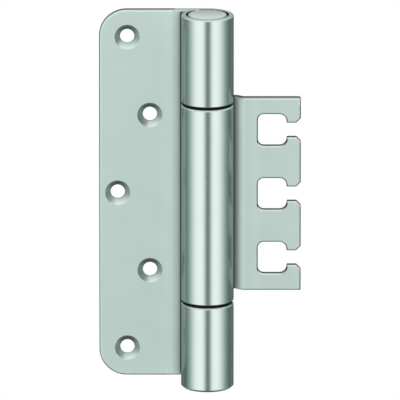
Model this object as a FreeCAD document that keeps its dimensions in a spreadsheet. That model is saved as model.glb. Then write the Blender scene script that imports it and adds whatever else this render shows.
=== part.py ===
"""Lift off hinge: a door leaf and a frame leaf, each rolled from sheet steel, on one drawn pin.

Millimetres. +X runs along the leaves towards the frame leaf, +Y into the door and frame behind them,
and +Z up the pin. The origin lies on the pin's axis at the level of the middle screw hole and the
middle slot, the line that the hinge is set out from.
"""
import FreeCAD, Part
import enum
import math
import os
import Sketcher

SIZES = {
    # Barrel
    "barrel_radius": 11.0,
    "sheet_thickness": 3.0,
    "upper_knuckle_length": 37.95,
    "lower_knuckle_length": 36.25,
    "knuckle_gap": 0.65,
    "roll_seam_gap": 0.25,
    "roll_seam_angle": 25.0,
    "knuckle_top_chamfer": 0.5,
    "knuckle_foot_chamfer": 0.9,
    "barrel_rim_width": 2.0,
    "counterbore_depth": 2.2,
    "swing_clearance": 0.6,
    "blank_allowance": 1.5,
    # Door leaf
    "door_leaf_reach": 45.1,
    "door_corner_radius": 11.5,
    "leaf_edge_chamfer": 0.45,
    "hole_pitch": 33.45,
    "hole_top_margin": 11.75,
    "hole_bottom_margin": 11.85,
    "leaf_foot_step": 2.6,
    "outer_hole_margin": 11.7,
    "inner_hole_margin": 21.15,
    "middle_hole_margin": 7.7,
    "screw_hole_diameter": 6.0,
    "countersink_diameter": 10.5,
    "countersink_angle": 90.0,
    # Frame leaf
    "frame_leaf_reach": 38.9,
    "frame_corner_radius": 0.8,
    "joggle_depth": 2.3,
    "joggle_clearance": 0.3,
    "joggle_slope": 45.0,
    "bend_radius": 0.8,
    "slot_count": 3,
    "slot_pitch": 27.5,
    "slot_top_margin": 13.9,
    "slot_bottom_margin": 13.9,
    "slot_reach": 21.0,
    "slot_height": 13.7,
    "slot_corner_radius": 2.5,
    "slot_shoulder_radius": 3.0,
    "throat_height": 6.3,
    "lip_length": 5.9,
    "lip_corner_radius": 0.5,
    "lip_chamfer": 1.9,
    # Pin and what it runs in
    "bush_wall": 1.5,
    "pin_clearance": 0.05,
    "pin_head_gap": 0.7,
    "pin_head_chamfer": 0.5,
    "pin_tip_chamfer": 0.8,
    "bush_length": 22.0,
    "collar_inset": 0.5,
    "collar_clearance": 0.1,
    "sleeve_chamfer": 0.4,
    # Plug in the foot of the barrel
    "plug_thickness": 3.6,
    "plug_pin_gap": 0.3,
    # Set screw that locks the pin
    "lock_screw_radius": 2.5,
    "lock_screw_inset": 0.25,
    "lock_screw_drop": 19.0,
    "lock_screw_bearing": 40.0,
    "lock_screw_clearance": 0.3,
    "lock_screw_chamfer": 0.6,
    "lock_thread_clearance": 0.05,
    "lock_groove_depth": 0.4,
    "lock_groove_height": 5.0,
    "socket_width": 2.5,
    "socket_depth": 1.8,
}

PLACES = {
    # Levels along the pin
    "barrel_top": "2 * Sizes.hole_pitch + Sizes.hole_top_margin",
    "door_leaf_foot": "-2 * Sizes.hole_pitch - Sizes.hole_bottom_margin",
    "barrel_foot": "door_leaf_foot - Sizes.leaf_foot_step",
    "barrel_length": "barrel_top - barrel_foot",
    "upper_knuckle_foot": "barrel_top - Sizes.upper_knuckle_length",
    "middle_knuckle_top": "upper_knuckle_foot - Sizes.knuckle_gap",
    "lower_knuckle_top": "barrel_foot + Sizes.lower_knuckle_length",
    "middle_knuckle_foot": "lower_knuckle_top + Sizes.knuckle_gap",
    "frame_leaf_top": "Sizes.slot_top_margin - slot_level",
    "frame_leaf_foot": "slot_level - Sizes.slot_bottom_margin",
    "notch_length": "upper_knuckle_foot - lower_knuckle_top",
    "frame_blank_top": "max(frame_leaf_top; middle_knuckle_top) + Sizes.blank_allowance",
    "frame_blank_foot": "min(frame_leaf_foot; middle_knuckle_foot) - Sizes.blank_allowance",
    "frame_blank_length": "frame_blank_top - frame_blank_foot",
    # The rolled sheet, seen along the pin
    "roll_bore": "Sizes.barrel_radius - Sizes.sheet_thickness",
    "seam_level": "roll_bore - Sizes.roll_seam_gap",
    "seam_reach": "sqrt(Sizes.barrel_radius ^ 2 - seam_level ^ 2)",
    "seam_inner_reach": "roll_bore * sin(Sizes.roll_seam_angle * 1 deg)",
    "tongue_reach": "sqrt((Sizes.barrel_radius + Sizes.swing_clearance) ^ 2 - roll_bore ^ 2)",
    "roll_side": "Sizes.barrel_radius + Sizes.joggle_clearance",
    "joggle_run": "Sizes.joggle_depth / tan(Sizes.joggle_slope * 1 deg)",
    "joggle_back_shift": "Sizes.sheet_thickness * tan(Sizes.joggle_slope * 0.5 deg)",
    "joggle_front_end": "roll_side + joggle_run",
    "joggle_back_start": "roll_side + joggle_back_shift",
    "joggle_back_end": "joggle_front_end + joggle_back_shift",
    "frame_leaf_back": "Sizes.barrel_radius - Sizes.joggle_depth",
    "frame_leaf_front": "roll_bore - Sizes.joggle_depth",
    "outer_bend_radius": "Sizes.bend_radius + Sizes.sheet_thickness",
    "waste_reach": "Sizes.door_leaf_reach + Sizes.frame_leaf_reach",
    # One slot, about the lowest slot's level
    "slot_spaces": "round(Sizes.slot_count) - 1",
    "slot_run": "slot_spaces * Sizes.slot_pitch",
    "slot_level": "-slot_run / 2",
    "slot_foot": "slot_level - Sizes.slot_height / 2",
    "slot_top": "slot_level + Sizes.slot_height / 2",
    "throat_foot": "slot_level - Sizes.throat_height / 2",
    "throat_top": "slot_level + Sizes.throat_height / 2",
    "slot_lip": "Sizes.frame_leaf_reach - Sizes.lip_length",
    "slot_mouth": "Sizes.frame_leaf_reach + Sizes.blank_allowance",
    # Screw holes
    "outer_hole_reach": "Sizes.door_leaf_reach - Sizes.outer_hole_margin",
    "inner_hole_reach": "Sizes.door_leaf_reach - Sizes.inner_hole_margin",
    "middle_hole_reach": "Sizes.door_leaf_reach - Sizes.middle_hole_margin",
    "outer_hole_level": "2 * Sizes.hole_pitch",
    "screw_hole_radius": "Sizes.screw_hole_diameter / 2",
    # Pin, bushes, sleeves and plug
    "bush_bore": "roll_bore - Sizes.bush_wall",
    "pin_radius": "bush_bore - Sizes.pin_clearance",
    "counterbore_radius": "Sizes.barrel_radius - Sizes.barrel_rim_width",
    "pin_head_radius": "counterbore_radius - Sizes.pin_head_gap",
    "collar_radius": "Sizes.barrel_radius - Sizes.collar_inset",
    "counterbore_floor": "barrel_top - Sizes.counterbore_depth",
    "plug_seat": "barrel_foot + Sizes.counterbore_depth",
    "plug_top": "barrel_foot + Sizes.plug_thickness",
    "pin_tip": "plug_top + Sizes.plug_pin_gap",
    "pin_tip_radius": "pin_radius - Sizes.pin_tip_chamfer",
    "pin_tip_shoulder": "pin_tip + Sizes.pin_tip_chamfer",
    "collar_top": "upper_knuckle_foot - Sizes.collar_clearance",
    "collar_foot": "lower_knuckle_top + Sizes.collar_clearance",
    "upper_bush_foot": "middle_knuckle_top - Sizes.bush_length",
    "lower_bush_top": "middle_knuckle_foot + Sizes.bush_length",
    # Set screw
    "lock_level": "barrel_top - Sizes.lock_screw_drop",
    "lock_tip": "pin_radius + Sizes.lock_screw_clearance",
    "lock_end": "Sizes.barrel_radius - Sizes.lock_screw_inset",
    "lock_end_across": "lock_end * cos(Sizes.lock_screw_bearing * 1 deg)",
    "lock_end_back": "lock_end * sin(Sizes.lock_screw_bearing * 1 deg)",
    "lock_hole_end": "Sizes.barrel_radius + Sizes.blank_allowance",
    "lock_hole_radius": "Sizes.lock_screw_radius + Sizes.lock_thread_clearance",
    "lock_point_radius": "Sizes.lock_screw_radius - Sizes.lock_screw_chamfer",
    "lock_point_end": "lock_tip + Sizes.lock_screw_chamfer",
    "lock_groove_radius": "pin_radius - Sizes.lock_groove_depth",
    "lock_groove_foot": "lock_level - Sizes.lock_groove_height / 2",
    "lock_groove_top": "lock_level + Sizes.lock_groove_height / 2",
    "socket_radius": "Sizes.socket_width / sqrt(3)",
}

UPRIGHT = FreeCAD.Vector(0, 0, 1)
EDGE_TOLERANCE = 0.01


class Spot(enum.IntEnum):
    """Which point of a sketch's line, arc or circle a constraint takes hold of."""

    START = 1
    END = 2
    CENTRE = 3


class Axis(enum.IntEnum):
    """The sketch's own axes, which meet at the start of the first."""

    H = -1
    V = -2


ORIGIN = (Axis.H, Spot.START)


def make_sheet(doc, name, cells):
    """A spreadsheet with one named cell for each entry."""
    sheet = doc.addObject("Spreadsheet::Sheet", name)
    for row, (alias, content) in enumerate(cells.items(), start=1):
        sheet.set(f"A{row}", alias)
        sheet.set(f"B{row}", content)
        sheet.setAlias(f"B{row}", alias)
    return sheet


class Hinge:
    """The document, its two spreadsheets and the steps that the sub-parts share."""

    def __init__(self):
        self.doc = FreeCAD.newDocument("lift_off_hinge")
        self.sizes = make_sheet(self.doc, "Sizes", {name: str(value) for name, value in SIZES.items()})
        self.places = make_sheet(self.doc, "Places", {name: f"={text}" for name, text in PLACES.items()})
        self.doc.recompute()

    def cell(self, name):
        """The expression for a named size or place, with a leading minus kept."""
        plain = name.lstrip("-")
        sheet = "Sizes" if plain in SIZES else "Places"
        return f"{name[:-len(plain)]}{sheet}.{plain}"

    def read(self, name):
        """The number behind a named size or place, and 0 for None, which stands for an axis."""
        if name is None:
            return 0.0
        plain = name.lstrip("-")
        sheet = self.sizes if plain in SIZES else self.places
        number = float(sheet.get(plain))
        return -number if name.startswith("-") else number

    def body(self, label):
        body = self.doc.addObject("PartDesign::Body", label)
        body.Label = label
        return body

    def plane(self, body, role):
        return next(feature for feature in body.Origin.OriginFeatures if feature.Role == role)

    def sketch(self, body, name, role, shift=(None, None, None), turn=None):
        """A sketch on an origin plane, shifted to named places and turned about an axis by a named angle."""
        sketch = body.newObject("Sketcher::SketchObject", name)
        sketch.AttachmentSupport = [(self.plane(body, role), "")]
        sketch.MapMode = "FlatFace"
        if turn:
            axis, angle = turn
            rotation = FreeCAD.Rotation(axis, self.read(angle))
            sketch.AttachmentOffset = FreeCAD.Placement(FreeCAD.Vector(), rotation)
            sketch.setExpression("AttachmentOffset.Rotation.Angle", self.cell(angle))
        for direction, place in zip("xyz", shift):
            if place:
                sketch.setExpression(f"AttachmentOffset.Base.{direction}", self.cell(place))
        return sketch

    def hold(self, sketch, geometry, end, across, up):
        """Holds a point of the sketch at named places, or on an axis where the place is None."""
        for kind, place, axis in (("DistanceX", across, Axis.V), ("DistanceY", up, Axis.H)):
            if place is None:
                sketch.addConstraint(Sketcher.Constraint("PointOnObject", geometry, end, axis))
                continue
            index = sketch.addConstraint(Sketcher.Constraint(kind, *ORIGIN, geometry, end, self.read(place)))
            sketch.setExpression(f"Constraints[{index}]", self.cell(place))

    def size(self, sketch, geometry, radius):
        """Gives a circle or an arc a named radius."""
        index = sketch.addConstraint(Sketcher.Constraint("Radius", geometry, self.read(radius)))
        sketch.setExpression(f"Constraints[{index}]", self.cell(radius))

    def outline(self, sketch, corners):
        """A closed wire of straight edges through corners, each an (across, up) pair of places."""
        points = [FreeCAD.Vector(self.read(across), self.read(up), 0) for across, up in corners]
        first = sketch.GeometryCount
        following = [first + place for place in range(1, len(corners))] + [first]
        for point, next_point in zip(points, points[1:] + points[:1]):
            sketch.addGeometry(Part.LineSegment(point, next_point))
        for place, (across, up) in enumerate(corners):
            join(sketch, first + place, Spot.END, following[place], Spot.START)
            self.hold(sketch, first + place, Spot.START, across, up)

    def circle(self, sketch, radius, across=None, up=None):
        """A circle of named radius about a named place, or about the origin."""
        centre = FreeCAD.Vector(self.read(across), self.read(up), 0)
        circle = sketch.addGeometry(Part.Circle(centre, UPRIGHT, self.read(radius)))
        self.size(sketch, circle, radius)
        self.hold(sketch, circle, Spot.CENTRE, across, up)

    def feature(self, body, kind, name, profile, **settings):
        """A feature on a sketch: named lengths go in as expressions, anything else as it is."""
        feature = body.newObject(f"PartDesign::{kind}", name)
        feature.Profile = profile
        profile.Visibility = False
        for setting, value in settings.items():
            if isinstance(value, str) and value.lstrip("-") in {**SIZES, **PLACES}:
                feature.setExpression(setting, self.cell(value))
            else:
                setattr(feature, setting, value)
        self.doc.recompute()
        return feature

    def turned(self, body, name, corners):
        """A piece turned about the pin."""
        sketch = self.sketch(body, f"{name}_profile", "XZ_Plane")
        self.outline(sketch, corners)
        self.feature(body, "Revolution", name, sketch, ReferenceAxis=(sketch, ["V_Axis"]), Angle=360.0)

    def turned_across(self, body, kind, name, corners):
        """A piece or a cut turned about the set screw's line, which runs outwards from the pin."""
        sketch = self.sketch(body, f"{name}_profile", "XY_Plane", (None, None, "lock_level"),
                             (UPRIGHT, "lock_screw_bearing"))
        self.outline(sketch, corners)
        self.feature(body, kind, name, sketch, ReferenceAxis=(sketch, ["H_Axis"]), Angle=360.0)

    def dress(self, body, kind, name, size, wanted):
        """Rounds or chamfers, by a named size, the edges of the body for which wanted(edge) holds."""
        base = body.Tip
        edges = [f"Edge{number}" for number, edge in enumerate(base.Shape.Edges, start=1) if wanted(edge)]
        if not edges:
            raise RuntimeError(f"{name} finds no edge")
        feature = body.newObject(f"PartDesign::{kind}", name)
        feature.Base = (base, edges)
        feature.setExpression("Radius" if kind == "Fillet" else "Size", self.cell(size))
        self.doc.recompute()

    def upright(self, *spots):
        """Picks the edges that run along the pin through any of the (across, back) spots."""
        numbers = [(self.read(across), self.read(back)) for across, back in spots]
        return lambda edge: any(runs_through(edge, "z", x=across, y=back) for across, back in numbers)

    def piercing(self, *spots):
        """Picks the edges that run through the sheet at any of the (across, level) spots."""
        numbers = [(self.read(across), self.read(level)) for across, level in spots]
        return lambda edge: any(runs_through(edge, "y", x=across, z=level) for across, level in numbers)

    def face_outline(self, back, reach):
        """Picks the edges of the flat face at a named depth that come out as far as a named reach."""
        depth, least = self.read(back), self.read(reach) - EDGE_TOLERANCE
        return lambda edge: lies_at(edge, "Y", depth) and edge.BoundBox.XMax > least

    def rims(self, radius, *levels):
        """Picks the arcs of named radius about the pin at any of the named levels."""
        size = self.read(radius)
        numbers = [self.read(level) for level in levels]
        return lambda edge: any(is_rim(edge, level, size) for level in numbers)


def join(sketch, one, one_spot, other, other_spot):
    """Makes two points of a sketch coincide."""
    sketch.addConstraint(Sketcher.Constraint("Coincident", one, one_spot, other, other_spot))


def runs_through(edge, along, **places):
    """Whether a straight edge runs along one axis and passes the given places on the others."""
    if edge.Curve.TypeId != "Part::GeomLine":
        return False
    first, last = edge.Vertexes[0].Point, edge.Vertexes[-1].Point
    if abs(getattr(last, along) - getattr(first, along)) < EDGE_TOLERANCE:
        return False
    return all(
        abs(getattr(point, axis) - place) < EDGE_TOLERANCE
        for point in (first, last)
        for axis, place in places.items()
    )


def lies_at(edge, axis, place):
    """Whether every point of an edge lies at one place along an axis."""
    ends = (getattr(edge.BoundBox, f"{axis}Min"), getattr(edge.BoundBox, f"{axis}Max"))
    return all(abs(end - place) < EDGE_TOLERANCE for end in ends)


def is_rim(edge, level, radius):
    """Whether an edge is an arc about the pin at one level."""
    if edge.Curve.TypeId != "Part::GeomCircle" or not lies_at(edge, "Z", level):
        return False
    offset = math.hypot(edge.Curve.Center.x, edge.Curve.Center.y)
    return offset < EDGE_TOLERANCE and abs(edge.Curve.Radius - radius) < EDGE_TOLERANCE


def roll_section(hinge, sketch, side, back_places, front_places):
    """The sheet seen along the pin: a roll about the origin that runs off at its back into the leaf.

    side is -1 for a leaf towards -X and 1 for one towards +X. The places run outwards from the roll.
    """
    sign = "" if side > 0 else "-"
    up = math.pi / 2
    outer_end = up - side * math.acos(hinge.read("seam_level") / hinge.read("barrel_radius"))
    inner_end = up - side * math.radians(hinge.read("roll_seam_angle"))
    tangent, seam = (Spot.START, Spot.END) if side > 0 else (Spot.END, Spot.START)
    arcs = []
    for radius, end, reach in (("barrel_radius", outer_end, f"{sign}seam_reach"),
                               ("roll_bore", inner_end, f"{sign}seam_inner_reach")):
        span = (up, end + 2 * math.pi) if side > 0 else (end, up + 2 * math.pi)
        circle = Part.Circle(FreeCAD.Vector(), UPRIGHT, hinge.read(radius))
        arc = sketch.addGeometry(Part.ArcOfCircle(circle, *span))
        join(sketch, arc, Spot.CENTRE, *ORIGIN)
        sketch.addConstraint(Sketcher.Constraint("PointOnObject", arc, tangent, Axis.V))
        hinge.size(sketch, arc, radius)
        index = sketch.addConstraint(Sketcher.Constraint("DistanceX", *ORIGIN, arc, seam, hinge.read(reach)))
        sketch.setExpression(f"Constraints[{index}]", hinge.cell(reach))
        arcs.append(arc)
    outer, inner = arcs
    seam_points = [sketch.getPoint(arc, seam) for arc in arcs]
    seam_line = sketch.addGeometry(Part.LineSegment(*seam_points))
    join(sketch, seam_line, Spot.START, outer, seam)
    join(sketch, seam_line, Spot.END, inner, seam)
    corners = back_places + front_places[::-1]
    points = [FreeCAD.Vector(hinge.read(across), hinge.read(back), 0) for across, back in corners]
    path = [sketch.getPoint(outer, tangent), *points, sketch.getPoint(inner, tangent)]
    lines = [sketch.addGeometry(Part.LineSegment(start, end)) for start, end in zip(path, path[1:])]
    join(sketch, lines[0], Spot.START, outer, tangent)
    join(sketch, lines[-1], Spot.END, inner, tangent)
    for line, following, (across, back) in zip(lines, lines[1:], corners):
        join(sketch, line, Spot.END, following, Spot.START)
        hinge.hold(sketch, line, Spot.END, across, back)


def cut_away(hinge, body, name, part, side, level, **settings):
    """Cuts the roll or the flat leaf away from one level, as the blank is cut before it is rolled."""
    sign = "" if side > 0 else "-"
    across = "-" if side > 0 else ""
    border = [(f"{sign}tongue_reach", "waste_reach"), (f"{sign}tongue_reach", "seam_level"),
              (f"{sign}roll_side", "seam_level"), (f"{sign}roll_side", "-waste_reach")]
    edge = f"{across}waste_reach" if part == "roll" else f"{sign}waste_reach"
    sketch = hinge.sketch(body, f"{name}_outline", "XY_Plane", (None, None, level))
    hinge.outline(sketch, border + [(edge, "-waste_reach"), (edge, "waste_reach")])
    hinge.feature(body, "Pocket", name, sketch, **settings)


def screw_holes(hinge, body):
    """Five countersunk holes in a zigzag, drilled from the front face."""
    sketch = hinge.sketch(body, "screw_hole_places", "XZ_Plane", (None, None, "-roll_bore"))
    for across, up in (("-outer_hole_reach", "outer_hole_level"), ("-inner_hole_reach", "hole_pitch"),
                       ("-middle_hole_reach", None), ("-inner_hole_reach", "-hole_pitch"),
                       ("-outer_hole_reach", "-outer_hole_level")):
        hinge.circle(sketch, "screw_hole_radius", across, up)
    hole = body.newObject("PartDesign::Hole", "screw_holes")
    hole.Profile = sketch
    sketch.Visibility = False
    hinge.doc.recompute()
    hole.DepthType = "ThroughAll"
    hole.HoleCutType = "Countersink"
    hole.setExpression("Diameter", hinge.cell("screw_hole_diameter"))
    hole.setExpression("HoleCutDiameter", hinge.cell("countersink_diameter"))
    hole.setExpression("HoleCutCountersinkAngle", hinge.cell("countersink_angle"))
    hinge.doc.recompute()


def cut_counterbore(hinge, body, name, floor, reverse):
    """The wide shallow bore in one end of the barrel, round the pin's head or the plug."""
    sketch = hinge.sketch(body, f"{name}_circle", "XY_Plane", (None, None, floor))
    hinge.circle(sketch, "counterbore_radius")
    hinge.feature(body, "Pocket", name, sketch, Length="counterbore_depth", Reversed=reverse)


def cut_lock_hole(hinge, body):
    """The radial hole for the set screw, from inside the pin's bore outwards."""
    hinge.turned_across(body, "Groove", "lock_hole", [
        ("lock_groove_radius", None), ("lock_hole_end", None),
        ("lock_hole_end", "lock_hole_radius"), ("lock_groove_radius", "lock_hole_radius"),
    ])


def door_leaf(hinge):
    """The door leaf: one sheet with an upper and a lower knuckle and five countersunk holes."""
    body = hinge.body("door_leaf")
    section = hinge.sketch(body, "section", "XY_Plane", (None, None, "barrel_foot"))
    roll_section(hinge, section, -1, [("-door_leaf_reach", "barrel_radius")],
                 [("-door_leaf_reach", "roll_bore")])
    hinge.feature(body, "Pad", "rolled_sheet", section, Length="barrel_length")
    cut_away(hinge, body, "knuckle_notch", "roll", -1, "upper_knuckle_foot", Length="notch_length")
    cut_away(hinge, body, "leaf_foot", "leaf", -1, "door_leaf_foot", Type="ThroughAll")
    hinge.dress(body, "Fillet", "leaf_corners", "door_corner_radius",
                hinge.piercing(("-door_leaf_reach", "barrel_top"), ("-door_leaf_reach", "door_leaf_foot")))
    hinge.dress(body, "Chamfer", "top_rim", "knuckle_top_chamfer",
                hinge.rims("barrel_radius", "lower_knuckle_top"))
    hinge.dress(body, "Chamfer", "foot_rims", "knuckle_foot_chamfer",
                hinge.rims("barrel_radius", "upper_knuckle_foot", "barrel_foot"))
    hinge.dress(body, "Chamfer", "leaf_edges", "leaf_edge_chamfer",
                hinge.upright(("-door_leaf_reach", "barrel_radius"), ("-door_leaf_reach", "roll_bore")))
    screw_holes(hinge, body)
    cut_counterbore(hinge, body, "head_counterbore", "counterbore_floor", True)
    cut_counterbore(hinge, body, "plug_counterbore", "plug_seat", False)
    cut_lock_hole(hinge, body)
    return body


def frame_slots(hinge, body):
    """Three C slots, open at the leaf's edge, that hook on the clamp screws of a receiver."""
    sketch = hinge.sketch(body, "slot_outline", "XZ_Plane")
    hinge.outline(sketch, [
        ("slot_reach", "slot_foot"), ("slot_lip", "slot_foot"), ("slot_lip", "throat_foot"),
        ("slot_mouth", "throat_foot"), ("slot_mouth", "throat_top"), ("slot_lip", "throat_top"),
        ("slot_lip", "slot_top"), ("slot_reach", "slot_top"),
    ])
    slot = hinge.feature(body, "Pocket", "slot", sketch, Type="ThroughAll", SideType="Symmetric")
    pattern = body.newObject("PartDesign::LinearPattern", "slots")
    pattern.Originals = [slot]
    pattern.Direction = (sketch, ["V_Axis"])
    pattern.Occurrences = round(hinge.read("slot_count"))
    pattern.setExpression("Length", hinge.cell("slot_run"))
    body.Tip = pattern
    hinge.doc.recompute()


def slot_spots(hinge, across, *levels):
    """Picks the edges through the sheet at one reach and at named levels of every slot."""
    pitch = hinge.read("slot_pitch")
    reach = hinge.read(across)
    copies = range(round(hinge.read("slot_count")))
    numbers = [hinge.read(level) + copy * pitch for level in levels for copy in copies]
    return lambda edge: any(runs_through(edge, "y", x=reach, z=number) for number in numbers)


def frame_leaf(hinge):
    """The frame leaf: one sheet with the middle knuckle, a joggle and three C slots."""
    body = hinge.body("frame_leaf")
    section = hinge.sketch(body, "section", "XY_Plane", (None, None, "frame_blank_foot"))
    roll_section(hinge, section, 1,
                 [("joggle_back_start", "barrel_radius"), ("joggle_back_end", "frame_leaf_back"),
                  ("frame_leaf_reach", "frame_leaf_back")],
                 [("roll_side", "roll_bore"), ("joggle_front_end", "frame_leaf_front"),
                  ("frame_leaf_reach", "frame_leaf_front")])
    hinge.feature(body, "Pad", "rolled_sheet", section, Length="frame_blank_length")
    hinge.dress(body, "Fillet", "inner_bends", "bend_radius",
                hinge.upright(("roll_side", "roll_bore"), ("joggle_back_end", "frame_leaf_back")))
    hinge.dress(body, "Fillet", "outer_bends", "outer_bend_radius",
                hinge.upright(("joggle_back_start", "barrel_radius"),
                              ("joggle_front_end", "frame_leaf_front")))
    cut_away(hinge, body, "knuckle_top", "roll", 1, "middle_knuckle_top", Type="ThroughAll", Reversed=True)
    cut_away(hinge, body, "knuckle_foot", "roll", 1, "middle_knuckle_foot", Type="ThroughAll")
    cut_away(hinge, body, "leaf_top", "leaf", 1, "frame_leaf_top", Type="ThroughAll", Reversed=True)
    cut_away(hinge, body, "leaf_foot", "leaf", 1, "frame_leaf_foot", Type="ThroughAll")
    frame_slots(hinge, body)
    hinge.dress(body, "Fillet", "slot_corners", "slot_corner_radius",
                slot_spots(hinge, "slot_reach", "slot_foot", "slot_top"))
    hinge.dress(body, "Fillet", "slot_shoulders", "slot_shoulder_radius",
                slot_spots(hinge, "slot_lip", "slot_foot", "slot_top"))
    hinge.dress(body, "Fillet", "lip_corners", "lip_corner_radius",
                slot_spots(hinge, "slot_lip", "throat_foot", "throat_top"))
    hinge.dress(body, "Chamfer", "lip_chamfers", "lip_chamfer",
                slot_spots(hinge, "frame_leaf_reach", "throat_foot", "throat_top"))
    hinge.dress(body, "Fillet", "leaf_corner", "frame_corner_radius",
                hinge.piercing(("frame_leaf_reach", "frame_leaf_top")))
    hinge.dress(body, "Chamfer", "front_edges", "leaf_edge_chamfer",
                hinge.face_outline("frame_leaf_front", "slot_reach"))
    hinge.dress(body, "Chamfer", "top_rim", "knuckle_top_chamfer",
                hinge.rims("barrel_radius", "middle_knuckle_top"))
    hinge.dress(body, "Chamfer", "foot_rim", "knuckle_foot_chamfer",
                hinge.rims("barrel_radius", "middle_knuckle_foot"))
    return body


def hinge_pin(hinge):
    """The pin, with a flat head in the counterbore and a groove for the set screw."""
    body = hinge.body("hinge_pin")
    hinge.turned(body, "pin", [
        (None, "pin_tip"), ("pin_tip_radius", "pin_tip"), ("pin_radius", "pin_tip_shoulder"),
        ("pin_radius", "lock_groove_foot"), ("lock_groove_radius", "lock_groove_foot"),
        ("lock_groove_radius", "lock_groove_top"), ("pin_radius", "lock_groove_top"),
        ("pin_radius", "counterbore_floor"), ("pin_head_radius", "counterbore_floor"),
        ("pin_head_radius", "barrel_top"), (None, "barrel_top"),
    ])
    hinge.dress(body, "Chamfer", "head_edge", "pin_head_chamfer",
                hinge.rims("pin_head_radius", "barrel_top"))
    return body


def bearing_bush(hinge, label, inner_end, knuckle_end, collar_face):
    """A bush pressed in one end of the middle knuckle, with a collar that parts two knuckles."""
    body = hinge.body(label)
    hinge.turned(body, "bush", [
        ("bush_bore", inner_end), ("roll_bore", inner_end), ("roll_bore", knuckle_end),
        ("collar_radius", knuckle_end), ("collar_radius", collar_face), ("bush_bore", collar_face),
    ])
    hinge.dress(body, "Chamfer", "lead_in", "sleeve_chamfer", hinge.rims("bush_bore", inner_end, collar_face))
    return body


def pin_sleeve(hinge, label, foot, top):
    """A sleeve that fills one door knuckle round the pin."""
    body = hinge.body(label)
    hinge.turned(body, "sleeve", [
        ("bush_bore", foot), ("roll_bore", foot), ("roll_bore", top), ("bush_bore", top),
    ])
    hinge.dress(body, "Chamfer", "lead_in", "sleeve_chamfer", hinge.rims("bush_bore", foot, top))
    return body


def bottom_plug(hinge):
    """The plug that closes the foot of the barrel, flanged to match the pin's head."""
    body = hinge.body("bottom_plug")
    hinge.turned(body, "plug", [
        (None, "barrel_foot"), ("pin_head_radius", "barrel_foot"), ("pin_head_radius", "plug_seat"),
        ("roll_bore", "plug_seat"), ("roll_bore", "plug_top"), (None, "plug_top"),
    ])
    hinge.dress(body, "Chamfer", "foot_edge", "pin_head_chamfer",
                hinge.rims("pin_head_radius", "barrel_foot"))
    return body


def pin_lock_screw(hinge):
    """The set screw in the back of the upper knuckle, backed off just clear of the pin."""
    body = hinge.body("pin_lock_screw")
    hinge.turned_across(body, "Revolution", "screw", [
        ("lock_tip", None), ("lock_end", None), ("lock_end", "lock_screw_radius"),
        ("lock_point_end", "lock_screw_radius"), ("lock_tip", "lock_point_radius"),
    ])
    socket = hinge.sketch(body, "socket_outline", "YZ_Plane",
                          ("lock_end_back", "lock_level", "lock_end_across"),
                          (FreeCAD.Vector(0, 1, 0), "lock_screw_bearing"))
    hexagon(hinge, socket, "socket_radius")
    hinge.feature(body, "Pocket", "socket", socket, Length="socket_depth")
    return body


def hexagon(hinge, sketch, radius):
    """A regular hexagon about the sketch's origin, with its corners on a circle of named radius."""
    size = hinge.read(radius)
    guide = sketch.addGeometry(Part.Circle(FreeCAD.Vector(), UPRIGHT, size), True)
    join(sketch, guide, Spot.CENTRE, *ORIGIN)
    hinge.size(sketch, guide, radius)
    turns = [math.pi / 3 * corner for corner in range(6)]
    points = [FreeCAD.Vector(size * math.cos(turn), size * math.sin(turn), 0) for turn in turns]
    lines = [sketch.addGeometry(Part.LineSegment(*ends)) for ends in zip(points, points[1:] + points[:1])]
    for line, following in zip(lines, lines[1:] + lines[:1]):
        join(sketch, line, Spot.END, following, Spot.START)
        sketch.addConstraint(Sketcher.Constraint("PointOnObject", line, Spot.START, guide))
    for line in lines[1:]:
        sketch.addConstraint(Sketcher.Constraint("Equal", lines[0], line))
    sketch.addConstraint(Sketcher.Constraint("PointOnObject", lines[0], Spot.START, Axis.H))


def export(hinge, bodies):
    """Checks every object and writes each sub-part to its own file."""
    hinge.doc.recompute()
    for item in hinge.doc.Objects:
        if {"Invalid", "Error"} & set(item.State):
            raise RuntimeError(f"{item.Name} failed: {item.State}")
    os.makedirs("parts", exist_ok=True)
    for body in bodies:
        if body.Shape.isNull() or not body.Shape.isValid():
            raise RuntimeError(f"{body.Label} has no valid shape")
        body.Shape.exportStep(f"parts/{body.Label}.step")
        box = body.Shape.optimalBoundingBox()
        print(f"{body.Label}: {body.Shape.Volume:.1f} mm3, {len(body.Shape.Solids)} solid, "
              f"x {box.XMin:.2f} {box.XMax:.2f}, y {box.YMin:.2f} {box.YMax:.2f}, "
              f"z {box.ZMin:.2f} {box.ZMax:.2f}")


def main():
    hinge = Hinge()
    upper_sleeve = pin_sleeve(hinge, "upper_pin_sleeve", "upper_knuckle_foot", "counterbore_floor")
    cut_lock_hole(hinge, upper_sleeve)
    export(hinge, [
        door_leaf(hinge),
        frame_leaf(hinge),
        hinge_pin(hinge),
        bearing_bush(hinge, "upper_bearing_bush", "upper_bush_foot", "middle_knuckle_top", "collar_top"),
        bearing_bush(hinge, "lower_bearing_bush", "lower_bush_top", "middle_knuckle_foot", "collar_foot"),
        upper_sleeve,
        pin_sleeve(hinge, "lower_pin_sleeve", "plug_top", "lower_knuckle_top"),
        bottom_plug(hinge),
        pin_lock_screw(hinge),
    ])


main()
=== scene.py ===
"""The looks of the lift off hinge: satin galvanised steel, black bushes and a white studio."""
import bpy
import math
from mathutils import Matrix, Vector
from typing import NamedTuple


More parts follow.
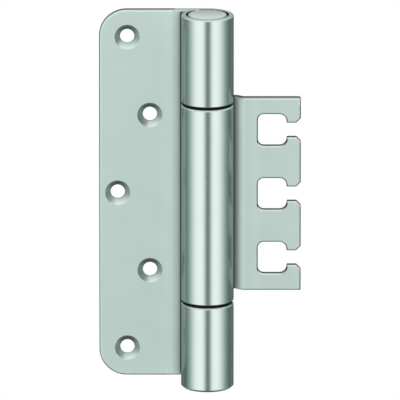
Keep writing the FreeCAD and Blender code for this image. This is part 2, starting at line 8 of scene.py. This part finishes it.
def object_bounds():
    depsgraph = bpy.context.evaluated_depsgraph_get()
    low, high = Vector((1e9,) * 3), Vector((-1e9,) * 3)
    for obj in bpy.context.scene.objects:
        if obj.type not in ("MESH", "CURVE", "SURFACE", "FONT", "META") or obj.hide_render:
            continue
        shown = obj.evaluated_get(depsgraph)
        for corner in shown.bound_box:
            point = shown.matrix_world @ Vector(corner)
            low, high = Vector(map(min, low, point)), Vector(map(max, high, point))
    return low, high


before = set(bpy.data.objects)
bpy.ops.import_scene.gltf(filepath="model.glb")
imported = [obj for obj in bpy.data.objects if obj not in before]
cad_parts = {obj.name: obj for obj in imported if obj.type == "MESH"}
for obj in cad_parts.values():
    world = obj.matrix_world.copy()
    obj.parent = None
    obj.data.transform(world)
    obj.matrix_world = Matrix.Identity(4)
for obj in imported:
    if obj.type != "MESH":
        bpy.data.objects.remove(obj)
cad_box = [list(corner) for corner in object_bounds()]

MM = 0.001
BARREL_RADIUS = 11.0 * MM

# The photograph: where the pin's axis and the middle hole's level lie, and how large a millimetre is
IMAGE_SIZE = 400
PIXELS_PER_MM = 2.4
AXIS_COLUMN = 207.4
MIDDLE_ROW = 197.55
CAMERA_ELEVATION = math.radians(14.7)
LENS_MM = 1500.0
SENSOR_MM = 36.0

# The studio, with the lamps' bearing and height in degrees and their power in watts
FLOOR_DROP = 0.3
FLOOR_RADIUS = 0.6
FLOOR_SEGMENTS = 96
DIFFUSE_SKY = 0.7
TENT_RADIUS = 2.0
TENT_RINGS = 32
TENT_SEGMENTS = 64
LAMP_DISTANCE = 1.5
LAMP_SIZE = 1.2
LAMPS = {"key_lamp": (-35.0, 55.0, 8.0), "fill_lamp": (50.0, 35.0, 4.0)}

# How bright the tent is at the barrel's level, by degrees round from the camera's side
TENT_BRIGHTNESS = (
    (0, 0.065), (8, 0.065), (13.5, 0.80), (19, 1.08), (32, 1.12), (40, 1.11), (50, 1.04), (57, 0.94),
    (64, 0.79), (71, 0.65), (78, 0.50), (85, 0.38), (92, 0.28), (100, 0.21), (108, 0.18), (116, 0.19),
    (124, 0.33), (131, 0.56), (138, 0.52), (145, 0.22), (150, 0.20), (156, 0.75), (162, 1.0), (172, 1.0),
    (176, 0.5), (180, 0.4),
)
UNDER_BRIGHTNESS = 0.20
FRONT_ABOVE_BRIGHTNESS = 1.1
BACK_ABOVE_BRIGHTNESS = 0.80
TOP_BRIGHTNESS = 1.3
TENT_POWER = 1.12
STRIP_SHIFT = 2.0
SIDE_SHIFT = -1.0

# Where the tent goes over from one of these to the next: degrees round and degrees up
STRIP_TO_SIDE = (20.0, 50.0)
FRONT_TO_BACK = (60.0, 150.0)
UNDER_TO_RING = (-66.0, -46.0)
RING_TO_ABOVE = (-4.0, 10.0)
ABOVE_TO_TOP = (25.0, 60.0)

# Painted light on the flats: how much lighter their steel is, by the distance in mm from the pin's axis, with
# painted shade close to the barrel on the frame leaf
DOOR_FLAT_PAINTED_LIGHT = (
    (0, 1.0), (11.5, 1.0), (12.5, 1.27), (15.4, 1.23), (18.3, 1.11), (21.2, 1.05), (27, 1.01), (45, 0.99),
)
FRAME_FLAT_PAINTED_LIGHT_AND_SHADE = (
    (0, 0.85), (11.5, 0.85), (12.2, 0.98), (13.2, 1.27), (15, 1.27), (16.5, 1.1), (20, 1.08), (24, 1.01),
    (45, 1.0),
)
FLAT_REACH = 45

# Where each place on the sheets begins and is full: distances, and parts of the normal's length
OFF_BARREL = (BARREL_RADIUS + 0.05 * MM, BARREL_RADIUS + 0.6 * MM)
SIDE_REACH = (8.0 * MM, 10.0 * MM)
BRINK_REACH = (10.70 * MM, 10.95 * MM)
OUTER_END_HEIGHT = (60.0 * MM, 70.0 * MM)
OUTER_END_REACH = (14.0 * MM, 13.0 * MM)
NOOK_REACH = (11.7 * MM, 11.2 * MM)
NOOK_HEIGHT = (77.9 * MM, 77.4 * MM)
PAINTED_HIGHLIGHT_OUTER_DEPTH = (0.25 * MM, 0.35 * MM)
PAINTED_HIGHLIGHT_INNER_DEPTH = (1.1 * MM, 0.8 * MM)
PAINTED_HIGHLIGHT_RISE = 2 * MM
OUTLINE_DEPTH = (0.35 * MM, 0.25 * MM)
RIM_SLOPE = (0.3, 0.6)
END_SLOPE = (0.80, 0.95)
CUT_SLOPE = (0.55, 0.2)
FRONT_SLOPE = (0.0, -0.3)
NOOK_SLOPE = (-0.3, -0.5)
LIT_SLOPE = (0.2, 0.6)
SHADED_SLOPE = (-0.2, -0.65)
COINED_LEAN = (0.14, 0.06)
CHAMFER_LEAN = (0.2, 0.1)
DIAGONAL = math.sqrt(0.5)

# How many times as bright the steel is in some of these places: painted shade and painted light, all but the
# cloud, which is random tone
SIDE_SHADE = 0.55
BRINK_SHADE = 0.1
NOOK_SHADE = 0.15
OUTLINE_SHADE = 0.1
LIT_OUTLINE_SHADE = 0.5
PAINTED_HIGHLIGHT_BRIGHTNESS = 1.15
SHADED_CONE_SHADE = 0.6
CLOUD_SHADE = 0.98
CLOUD_RANGE = (0.3, 0.7)
CREVICE_RANGE = (0.35, 1.0)
PIN_CREVICE_REACH = 2.0 * MM
PIN_CREVICE_SHADE = 0.5
PIN_FRONT_TO_BACK = (-8.0 * MM, 8.0 * MM)
PIN_FRONT_LIGHT = 1.2
PIN_BACK_SHADE = 0.8
CHAMFER_SHADE = 0.5

# The noise in each surface: its scale, detail and roughness
SATIN_GRAIN = (2600.0, 3.0, 0.6)
SATIN_CLOUD = (90.0, 2.0, 0.5)
PIN_GRAIN = (3000.0, 3.0, 0.6)
BUSH_GRAIN = (4000.0, 2.0, 0.5)
FLOOR_CLOUD = (20.0, 4.0, 0.5)

# How rough and how glossy each surface is, and how its grain and its edges stand out
SATIN_ROUGHNESS = (0.46, 0.56)
POLISHED_ROUGHNESS = (0.24, 0.29)
COINED_ROUGHNESS = 0.36
CUT_ROUGHNESS = 0.6
PIN_ROUGHNESS = (0.34, 0.46)
BUSH_ROUGHNESS = (0.6, 0.8)
SATIN_GLOSS = 0.1
BUSH_GLOSS = 0.2
SATIN_BUMP = 0.06
PIN_BUMP = 0.05
BUSH_BUMP = 0.1
GRAIN_DEPTH = 0.02 * MM
EDGE_RADIUS = 0.15 * MM
EDGE_SAMPLES = 6
CREVICE_SAMPLES = 12


def colour(red, green, blue):
    return (red, green, blue, 1.0)


STEEL = colour(0.656, 0.746, 0.71)
SATIN_STEEL = colour(0.66, 0.782, 0.745)
RIM_STEEL = colour(0.446, 0.527, 0.50)
END_STEEL = colour(0.375, 0.446, 0.42)
# Painted shade and painted light on the coined faces: the cones darker, lighter where they look up, and the
# slots near black
CONE_PAINTED_SHADE_STEEL = colour(0.464, 0.562, 0.527)
CONE_PAINTED_LIGHT_STEEL = colour(0.57, 0.67, 0.63)
SLOT_PAINTED_SHADE_STEEL = colour(0.08, 0.10, 0.09)
# Sheared edges: dull bare steel, drawn near black as painted shade
CUT_STEEL_AND_PAINTED_SHADE = colour(0.045, 0.056, 0.051)
GRAZING_TINT = colour(0.5, 0.5, 0.5)
BUSH_BLACKS = (colour(0.003, 0.003, 0.003), colour(0.006, 0.006, 0.006))
FLOOR_GREYS = (colour(0.80, 0.80, 0.80), colour(0.84, 0.84, 0.84))
WHITE = colour(1.0, 1.0, 1.0)
SHADE_CAST = colour(0.66, 1.0, 0.86)


class LeafLook(NamedTuple):
    """What sets one leaf's steel apart from the other's, with every length in metres."""
    material: str
    coined_painted_shade_steel: tuple
    crevice_reach: float
    crevice_shade: float
    bend: tuple
    bend_metal: float
    flat_painted_light_and_shade: tuple
    end: float
    half_height: float
    corner: float
    painted_highlight_foot: float


DOOR_LEAF = LeafLook(
    material="door_leaf_steel", coined_painted_shade_steel=CONE_PAINTED_SHADE_STEEL, crevice_reach=6.0 * MM, crevice_shade=0.5,
    bend=(13.5 * MM, 16.5 * MM), bend_metal=1.0, flat_painted_light_and_shade=DOOR_FLAT_PAINTED_LIGHT,
    end=45.1 * MM, half_height=78.7 * MM, corner=11.5 * MM, painted_highlight_foot=-74 * MM,
)
FRAME_LEAF = LeafLook(
    material="frame_leaf_steel", coined_painted_shade_steel=SLOT_PAINTED_SHADE_STEEL, crevice_reach=3.0 * MM, crevice_shade=1.0,
    bend=(13.8 * MM, 15.5 * MM), bend_metal=0.05, flat_painted_light_and_shade=FRAME_FLAT_PAINTED_LIGHT_AND_SHADE,
    end=38.9 * MM, half_height=41.4 * MM, corner=0.8 * MM, painted_highlight_foot=37 * MM,
)


class Nodes:
    """A short way to write a node tree."""

    def __init__(self, tree):
        self.tree = tree
        tree.nodes.clear()

    def add(self, kind, sets=None, **inputs):
        """A node with its settings and its inputs, which are numbers, colours or other nodes' sockets."""
        node = self.tree.nodes.new(f"ShaderNode{kind}")
        for name, value in (sets or {}).items():
            setattr(node, name, value)
        for name, value in inputs.items():
            self.put(node, name, value)
        return node

    def put(self, node, name, value):
        """Sets or links one input, named by its label with _ for a space, or by i and its number."""
        if name[0] == "i" and name[1:].isdigit():
            socket = node.inputs[int(name[1:])]
        else:
            socket = node.inputs[name.replace("_", " ")]
        if isinstance(value, bpy.types.NodeSocket):
            self.tree.links.new(value, socket)
        else:
            socket.default_value = value

    def finish(self, kind, output="OutputMaterial", **inputs):
        """The last shader of the tree."""
        shader = self.add(kind, **inputs)
        self.add(output, Surface=shader.outputs[0])

    def math(self, operation, *values):
        inputs = {f"i{place}": value for place, value in enumerate(values)}
        return self.add("Math", {"operation": operation}, **inputs).outputs[0]

    def product(self, first, *others):
        for other in others:
            first = self.math("MULTIPLY", first, other)
        return first

    def without(self, mask):
        """The other side of a mask."""
        return self.math("SUBTRACT", 1.0, mask)

    def length(self, one, other):
        """The length of a pair of numbers."""
        squares = [self.math("MULTIPLY", value, value) for value in (one, other)]
        return self.math("SQRT", self.math("ADD", *squares))

    def lean(self, value):
        """How far a part of the normal is from that of a 45 degree slope."""
        return self.math("ABSOLUTE", self.math("SUBTRACT", value, DIAGONAL))

    def parts(self, vector):
        """The three numbers of a vector."""
        return self.add("SeparateXYZ", Vector=vector).outputs

    def mix(self, factor, low, high):
        """Mixes two numbers."""
        return self.add("Mix", {"data_type": "FLOAT"}, i0=factor, i2=low, i3=high).outputs[0]

    def tint(self, factor, low, high):
        """Mixes two colours."""
        return self.add("Mix", {"data_type": "RGBA"}, i0=factor, i6=low, i7=high).outputs[2]

    def shade(self, base, brightness):
        """A colour times a number."""
        grey = self.add("CombineXYZ", X=brightness, Y=brightness, Z=brightness).outputs[0]
        multiply = {"data_type": "RGBA", "blend_type": "MULTIPLY"}
        return self.add("Mix", multiply, i0=1.0, i6=base, i7=grey).outputs[2]

    def shade_places(self, base, places):
        """A colour made darker or lighter by (mask, brightness) pairs."""
        for mask, brightness in places:
            base = self.shade(base, self.mix(mask, 1.0, brightness))
        return base

    def step(self, value, start, end):
        """Goes smoothly from 0 at start to 1 at end."""
        ramp = {"interpolation_type": "SMOOTHSTEP"}
        return self.add("MapRange", ramp, Value=value, From_Min=start, From_Max=end).outputs[0]

    def graded(self, value, end, stops):
        """A number read off (place, brightness) stops, with the places counted from 0 to end."""
        ramp = self.add("ValToRGB", Fac=self.math("DIVIDE", value, end))
        elements = ramp.color_ramp.elements
        elements.remove(elements[1])
        for place, brightness in stops[1:]:
            elements.new(place / end).color = colour(brightness, brightness, brightness)
        elements[0].color = colour(stops[0][1], stops[0][1], stops[0][1])
        return ramp.outputs[0]

    def crevice(self, reach, shade):
        """Painted shade in crevices: goes from a shade in a crevice to 1 in the open, with surfaces up to a
        reach away counted.
        """
        shadow = self.add("AmbientOcclusion", {"samples": CREVICE_SAMPLES}, Distance=reach)
        return self.mix(self.step(shadow.outputs["AO"], *CREVICE_RANGE), shade, 1.0)

    def noise(self, place, scale, detail, roughness):
        return self.add("TexNoise", Vector=place, Scale=scale, Detail=detail, Roughness=roughness).outputs[0]

    def soft_edges(self):
        """Normals that round every sharp edge a little."""
        return self.add("Bevel", {"samples": EDGE_SAMPLES}, Radius=EDGE_RADIUS).outputs[0]

    def bump(self, grain, strength, **normal):
        """Normals with a fine grain, over the plain ones or over those given."""
        return self.add("Bump", Strength=strength, Distance=GRAIN_DEPTH, Height=grain, **normal).outputs[0]


def new_material(name):
    material = bpy.data.materials.new(name)
    material.use_nodes = True
    return material, Nodes(material.node_tree)


class SheetPlaces:
    """The places on one leaf's sheet, each a mask that goes from 0 outside the place to 1 in it."""

    def __init__(self, nodes, leaf):
        self.nodes = nodes
        self.leaf = leaf
        coordinates = nodes.add("TexCoord")
        self.spot = coordinates.outputs["Object"]
        self.across, self.back, self.up = nodes.parts(self.spot)
        _, self.facing_back, self.facing_up = nodes.parts(coordinates.outputs["Normal"])
        self.reach = nodes.math("ABSOLUTE", self.across)
        self.height = nodes.math("ABSOLUTE", self.up)
        self.level = nodes.math("ABSOLUTE", self.facing_up)
        self.flat = nodes.math("ABSOLUTE", self.facing_back)
        self.front = nodes.step(self.facing_back, *FRONT_SLOPE)
        # Faces that look up, which get painted light on the cones and a paler painted outline
        self.lit = nodes.step(self.facing_up, *LIT_SLOPE)
        self.find_roll()
        self.find_edges()
        self.find_outline()
        self.find_nook()

    def find_roll(self):
        """The leaf beside the barrel, the roll's rims and ends, and the barrel's two sides with painted
        shade, and a dark painted line at its silhouette edges.
        """
        nodes = self.nodes
        self.off_barrel = nodes.step(nodes.length(self.across, self.back), *OFF_BARREL)
        self.off_bend = nodes.step(self.reach, *self.leaf.bend)
        self.rim = nodes.step(self.level, *RIM_SLOPE)
        self.end = nodes.step(self.level, *END_SLOPE)
        rolled = nodes.without(nodes.math("MAXIMUM", self.off_barrel, self.rim))
        # Painted shade on the barrel's two sides, and a dark painted line at its silhouette edges
        self.side = nodes.product(nodes.step(self.reach, *SIDE_REACH), rolled)
        self.brink = nodes.product(nodes.step(self.reach, *BRINK_REACH), rolled)

    def find_edges(self):
        """The sheared edges of the leaf, except its ends beside the barrel, and the 45 degree coining."""
        nodes = self.nodes
        outer_end = nodes.product(
            nodes.step(self.height, *OUTER_END_HEIGHT), self.end, nodes.step(self.reach, *OUTER_END_REACH))
        self.cut = nodes.product(nodes.step(self.flat, *CUT_SLOPE), self.off_barrel, nodes.without(outer_end))
        self.coined = nodes.product(nodes.step(nodes.lean(self.flat), *COINED_LEAN), self.off_bend)

    def find_outline(self):
        """The painted dark line round the leaf's front, the painted highlight strip inside it, and the cones
        of the holes, with painted shade where they face down.
        """
        nodes = self.nodes
        depth = self.outline_depth()
        foot = self.leaf.painted_highlight_foot
        # Painted highlight: a lighter strip just inside the front outline, above a foot height
        self.painted_highlight = nodes.product(
            nodes.step(depth, *PAINTED_HIGHLIGHT_INNER_DEPTH), nodes.product(self.front, self.off_bend),
            nodes.step(depth, *PAINTED_HIGHLIGHT_OUTER_DEPTH), nodes.step(self.up, foot, foot + PAINTED_HIGHLIGHT_RISE))
        self.bare = nodes.product(self.coined, nodes.without(self.painted_highlight))
        # Painted shade on the coined faces that look down
        self.shaded_cone = nodes.product(nodes.step(self.facing_up, *SHADED_SLOPE), self.bare)
        # Painted shade: a dark line on the chamfer round the leaf's front
        self.outline = nodes.product(nodes.step(depth, *OUTLINE_DEPTH), self.coined)

    def find_nook(self):
        """The strip of the leaf that lies in the barrel's nook, which gets painted shade."""
        nodes = self.nodes
        self.nook = nodes.product(
            nodes.step(self.facing_back, *NOOK_SLOPE), self.off_barrel,
            nodes.step(self.reach, *NOOK_REACH), nodes.step(self.height, *NOOK_HEIGHT))

    def outline_depth(self):
        """How far a place lies within the leaf's outline, which is a rounded rectangle."""
        nodes, leaf = self.nodes, self.leaf
        over = nodes.math("SUBTRACT", self.reach, leaf.end - leaf.corner)
        above = nodes.math("SUBTRACT", self.height, leaf.half_height - leaf.corner)
        inside = nodes.math("MINIMUM", nodes.math("MAXIMUM", over, above), 0.0)
        corner_reach = nodes.length(nodes.math("MAXIMUM", over, 0.0), nodes.math("MAXIMUM", above, 0.0))
        return nodes.math("SUBTRACT", leaf.corner, nodes.math("ADD", corner_reach, inside))


def sheet_colour(nodes, places, leaf):
    """The steel's colour by its place on the sheet, then painted shade and painted light where the photograph
    has it so.
    """
    # Painted light on the leaves' front faces, strongest just beside the barrel, where the barrel's
    # reflection darkens them
    light = nodes.graded(nodes.math("DIVIDE", places.reach, MM), FLAT_REACH, leaf.flat_painted_light_and_shade)
    satin = nodes.shade(SATIN_STEEL, nodes.mix(places.front, 1.0, light))
    base = nodes.tint(places.off_barrel, STEEL, satin)
    base = nodes.tint(places.rim, base, RIM_STEEL)
    # Painted light and shade on the coined faces: lighter where they look up, darker elsewhere
    base = nodes.tint(places.bare, base, nodes.tint(places.lit, leaf.coined_painted_shade_steel, CONE_PAINTED_LIGHT_STEEL))
    base = nodes.tint(places.end, base, END_STEEL)
    # The sheared edges: dull bare steel, drawn near black as painted shade
    base = nodes.tint(places.cut, base, CUT_STEEL_AND_PAINTED_SHADE)
    cloud = nodes.noise(places.spot, *SATIN_CLOUD)
    base = nodes.shade(base, nodes.mix(nodes.step(cloud, *CLOUD_RANGE), CLOUD_SHADE, 1.0))
    # Painted shade in crevices, such as beside the barrel
    base = nodes.shade(base, nodes.crevice(leaf.crevice_reach, leaf.crevice_shade))
    # Painted shade for the outline, less dark where its edge looks up
    outline_shade = nodes.mix(places.lit, OUTLINE_SHADE, LIT_OUTLINE_SHADE)
    # Painted shade on the barrel's sides, its silhouette edges, the nook, the outline and the downward cone
    # faces, and a painted highlight inside the outline
    return nodes.shade_places(base, (
        (places.side, SIDE_SHADE), (places.brink, BRINK_SHADE), (places.nook, NOOK_SHADE),
        (places.outline, outline_shade), (places.painted_highlight, PAINTED_HIGHLIGHT_BRIGHTNESS),
        (places.shaded_cone, SHADED_CONE_SHADE),
    ))


def sheet_roughness(nodes, places, grain):
    """Smooth on the barrel, satin on the leaves, smoother where coined and dull where cut."""
    polished = nodes.mix(grain, *POLISHED_ROUGHNESS)
    rough = nodes.mix(places.off_barrel, polished, nodes.mix(grain, *SATIN_ROUGHNESS))
    rough = nodes.mix(places.coined, rough, COINED_ROUGHNESS)
    return nodes.mix(nodes.math("MAXIMUM", places.cut, places.end), rough, CUT_ROUGHNESS)


def sheet_metal(nodes, places, leaf):
    """How metallic the sheet is: less where it bends away from the barrel, and not where it is cut."""
    off_bend = nodes.math("MAXIMUM", places.off_bend, nodes.without(places.off_barrel))
    return nodes.product(nodes.mix(off_bend, leaf.bend_metal, 1.0), nodes.without(places.cut))


def satin_steel(leaf):
    """Galvanised sheet: smooth on the barrel, satin on the leaf, coined at the edges, dull where cut, with
    painted shade and painted light in its colour.
    """
    material, nodes = new_material(leaf.material)
    places = SheetPlaces(nodes, leaf)
    grain = nodes.noise(places.spot, *SATIN_GRAIN)
    nodes.finish(
        "BsdfPrincipled", Base_Color=sheet_colour(nodes, places, leaf),
        Metallic=sheet_metal(nodes, places, leaf), Roughness=sheet_roughness(nodes, places, grain),
        Specular_Tint=GRAZING_TINT, Specular_IOR_Level=SATIN_GLOSS,
        Normal=nodes.bump(grain, SATIN_BUMP, Normal=nodes.soft_edges()))
    return material


def pin_steel():
    """Turned steel of the pin, its sleeves, the plug and the set screw."""
    material, nodes = new_material("turned_pin_steel")
    place = nodes.add("TexCoord")
    grain = nodes.noise(place.outputs["Object"], *PIN_GRAIN)
    # Painted shade in the pin's crevices
    base = nodes.shade(STEEL, nodes.crevice(PIN_CREVICE_REACH, PIN_CREVICE_SHADE))
    _, back, _ = nodes.parts(place.outputs["Object"])
    _, _, facing_up = nodes.parts(place.outputs["Normal"])
    # Painted light at the front of the pin's parts and painted shade at their back
    base = nodes.shade(base, nodes.mix(nodes.step(back, *PIN_FRONT_TO_BACK), PIN_FRONT_LIGHT, PIN_BACK_SHADE))
    # Painted shade on the pin's 45 degree chamfers
    chamfer = nodes.step(nodes.lean(facing_up), *CHAMFER_LEAN)
    nodes.finish(
        "BsdfPrincipled", Base_Color=nodes.shade_places(base, ((chamfer, CHAMFER_SHADE),)), Metallic=1.0,
        Roughness=nodes.mix(grain, *PIN_ROUGHNESS), Specular_Tint=GRAZING_TINT,
        Normal=nodes.bump(grain, PIN_BUMP, Normal=nodes.soft_edges()))
    return material


def black_bush():
    """Moulded black plastic with a fine matte grain."""
    material, nodes = new_material("matte_black_plastic")
    grain = nodes.noise(nodes.add("TexCoord").outputs["Object"], *BUSH_GRAIN)
    nodes.finish(
        "BsdfPrincipled", Base_Color=nodes.tint(grain, *BUSH_BLACKS),
        Roughness=nodes.mix(grain, *BUSH_ROUGHNESS), Specular_IOR_Level=BUSH_GLOSS,
        Normal=nodes.bump(grain, BUSH_BUMP))
    return material


def dress_nodes():
    """Gives every CAD node its finished material."""
    finishes = {
        satin_steel(DOOR_LEAF): ("door_leaf",),
        satin_steel(FRAME_LEAF): ("frame_leaf",),
        pin_steel(): ("hinge_pin", "upper_pin_sleeve", "lower_pin_sleeve", "bottom_plug", "pin_lock_screw"),
        black_bush(): ("upper_bearing_bush", "lower_bearing_bush"),
    }
    for material, names in finishes.items():
        for name in names:
            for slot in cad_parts[name].material_slots:
                slot.material = material


def aimed(away, target=Vector()):
    """Where a camera or a lamp stands when it looks back along away at the target."""
    return Matrix.Translation(target + away) @ away.to_track_quat("Z", "Y").to_matrix().to_4x4()


def make_camera():
    """A long lens at the photograph's viewing angle, so that the view is nearly parallel."""
    camera = bpy.data.cameras.new("camera")
    camera.sensor_width = SENSOR_MM
    camera.lens = LENS_MM
    width = IMAGE_SIZE / PIXELS_PER_MM * MM
    distance = width * LENS_MM / SENSOR_MM
    middle = IMAGE_SIZE / 2
    target = Vector((
        (middle - AXIS_COLUMN) / PIXELS_PER_MM * MM,
        0.0,
        (MIDDLE_ROW - middle) / PIXELS_PER_MM / math.cos(CAMERA_ELEVATION) * MM,
    ))
    back = Vector((0.0, -math.cos(CAMERA_ELEVATION), math.sin(CAMERA_ELEVATION)))
    camera.clip_start = distance / 100
    camera.clip_end = distance * 3
    item = bpy.data.objects.new("camera", camera)
    item.matrix_world = aimed(back * distance, target)
    bpy.context.scene.collection.objects.link(item)
    bpy.context.scene.camera = item


def make_world():
    """A white surrounding, which the camera and the metal see at strength 1."""
    world = bpy.data.worlds.new("studio")
    world.use_nodes = True
    nodes = Nodes(world.node_tree)
    path = nodes.add("LightPath")
    seen = nodes.math("MAXIMUM", path.outputs["Is Camera Ray"], path.outputs["Is Glossy Ray"])
    seen = nodes.math("MAXIMUM", seen, path.outputs["Is Transmission Ray"])
    nodes.finish("Background", "OutputWorld", Color=WHITE, Strength=nodes.mix(seen, DIFFUSE_SKY, 1.0))
    bpy.context.scene.world = world


def stage_piece(name, points, faces, material):
    """A piece of the studio, which isn't part of the object."""
    mesh = bpy.data.meshes.new(name)
    mesh.from_pydata(points, [], faces)
    mesh.materials.append(material)
    item = bpy.data.objects.new(name, mesh)
    bpy.context.scene.collection.objects.link(item)
    return item


def make_floor():
    """A round pale floor below the hinge, out of the photograph's view."""
    material, nodes = new_material("pale_floor")
    cloud = nodes.noise(nodes.add("TexCoord").outputs["Object"], *FLOOR_CLOUD)
    nodes.finish("BsdfDiffuse", Color=nodes.tint(cloud, *FLOOR_GREYS))
    level = cad_box[0][2] - FLOOR_DROP
    turns = [2 * math.pi * place / FLOOR_SEGMENTS for place in range(FLOOR_SEGMENTS)]
    points = [(FLOOR_RADIUS * math.cos(turn), FLOOR_RADIUS * math.sin(turn), level) for turn in turns]
    floor = stage_piece("floor", points, [range(FLOOR_SEGMENTS)], material)
    floor.visible_glossy = False


def tent_glow():
    """Dark straight in front, bright at both sides of that, dimmer round to the back, dark below."""
    material, nodes = new_material("graded_tent")
    across, back, up = nodes.parts(nodes.add("TexCoord").outputs["Object"])
    front = nodes.math("MULTIPLY", back, -1.0)
    turn = nodes.math("DEGREES", nodes.math("ARCTAN2", across, front))
    shift = nodes.mix(nodes.step(nodes.math("ABSOLUTE", turn), *STRIP_TO_SIDE), STRIP_SHIFT, SIDE_SHIFT)
    turn = nodes.math("ABSOLUTE", nodes.math("SUBTRACT", turn, shift))
    lift = nodes.math("DEGREES", nodes.math("ARCTAN2", up, nodes.length(across, back)))
    ring = nodes.graded(turn, 180, TENT_BRIGHTNESS)
    above = nodes.mix(nodes.step(turn, *FRONT_TO_BACK), FRONT_ABOVE_BRIGHTNESS, BACK_ABOVE_BRIGHTNESS)
    glow = nodes.mix(nodes.step(lift, *UNDER_TO_RING), UNDER_BRIGHTNESS, ring)
    glow = nodes.mix(nodes.step(lift, *RING_TO_ABOVE), glow, above)
    glow = nodes.mix(nodes.step(lift, *ABOVE_TO_TOP), glow, TOP_BRIGHTNESS)
    cast = nodes.tint(nodes.step(glow, 0.0, 1.0), SHADE_CAST, WHITE)
    nodes.finish("Emission", Color=cast, Strength=nodes.math("MULTIPLY", glow, TENT_POWER))
    return material


def make_tent():
    """A ball of soft light about the hinge, seen only in its metal."""
    points = []
    for ring in range(TENT_RINGS + 1):
        lift = math.pi * (ring / TENT_RINGS - 0.5)
        for place in range(TENT_SEGMENTS):
            turn = 2 * math.pi * place / TENT_SEGMENTS
            points.append((TENT_RADIUS * math.cos(lift) * math.sin(turn),
                           -TENT_RADIUS * math.cos(lift) * math.cos(turn), TENT_RADIUS * math.sin(lift)))
    faces = []
    for ring in range(TENT_RINGS):
        for place in range(TENT_SEGMENTS):
            following = (place + 1) % TENT_SEGMENTS
            low, high = ring * TENT_SEGMENTS, (ring + 1) * TENT_SEGMENTS
            faces.append((low + place, low + following, high + following, high + place))
    tent = stage_piece("tent", points, faces, tent_glow())
    tent.visible_camera = False
    tent.visible_shadow = False
    tent.visible_diffuse = False


def make_lamp(name, bearing, lift, power):
    """A soft square lamp aimed at the hinge, from a bearing and a height in degrees."""
    light = bpy.data.lights.new(name, "AREA")
    light.shape = "SQUARE"
    light.size = LAMP_SIZE
    light.energy = power
    turn, rise = math.radians(bearing), math.radians(lift)
    away = Vector((math.sin(turn) * math.cos(rise), -math.cos(turn) * math.cos(rise), math.sin(rise)))
    item = bpy.data.objects.new(name, light)
    item.matrix_world = aimed(away * LAMP_DISTANCE)
    item.visible_glossy = False
    bpy.context.scene.collection.objects.link(item)


def make_studio():
    make_world()
    make_floor()
    make_tent()
    for name, (bearing, lift, power) in LAMPS.items():
        make_lamp(name, bearing, lift, power)


dress_nodes()
make_camera()
make_studio()
bpy.context.scene.view_settings.view_transform = "Standard"
